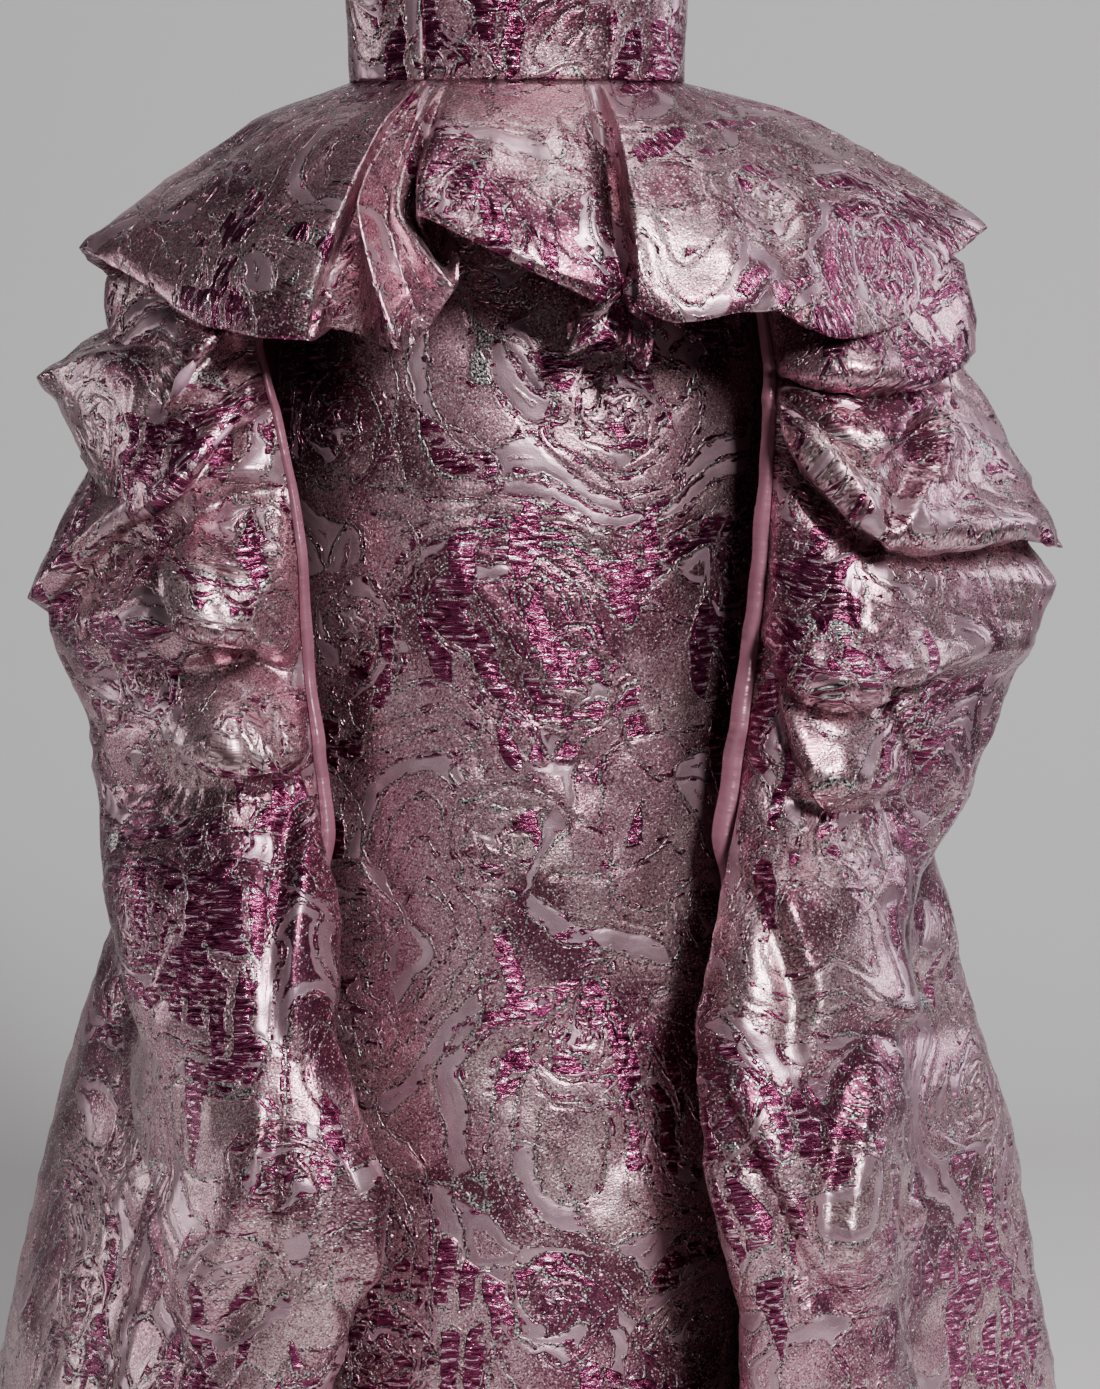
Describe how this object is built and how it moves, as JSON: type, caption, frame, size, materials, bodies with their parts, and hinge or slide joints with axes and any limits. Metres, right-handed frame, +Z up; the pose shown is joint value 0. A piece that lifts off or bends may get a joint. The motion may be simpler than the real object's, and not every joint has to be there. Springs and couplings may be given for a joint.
{
  "type": "strapless gown",
  "caption": "Strapless evening gown in worn form: fitted bodice, bubble peplum, slim column skirt and a draped overskirt open at the front with a short train.",
  "frame": {"origin": "middle of the waist seam, on the wearer's vertical axis", "axes": "+Z up, -Y the way the wearer faces, +X the right hand side as seen from the front"},
  "size_m": [0.88, 0.8424, 1.3627],
  "materials": {
    "brocade": "blistered rose brocade with a metallic thread",
    "satin": "smooth satin",
    "placket": "matte tape"
  },
  "bodies": {
    "root": {"bodice_center_front": "brocade", "bodice_side_front_left": "brocade", "bodice_side_front_right": "brocade", "bodice_side_back_left": "brocade", "bodice_side_back_right": "brocade", "bodice_back_left": "brocade", "bodice_back_right": "brocade", "peplum_front": "brocade", "peplum_back_left": "brocade", "peplum_back_right": "brocade", "overskirt_left": "brocade", "overskirt_right": "brocade", "overskirt_back_left": "brocade", "overskirt_back_right": "brocade", "satin_facing_left": "satin", "satin_facing_right": "satin", "column_front": "brocade", "column_back_left": "brocade", "column_back_right": "brocade", "closure_placket": "placket"}
  },
  "joints": []
}
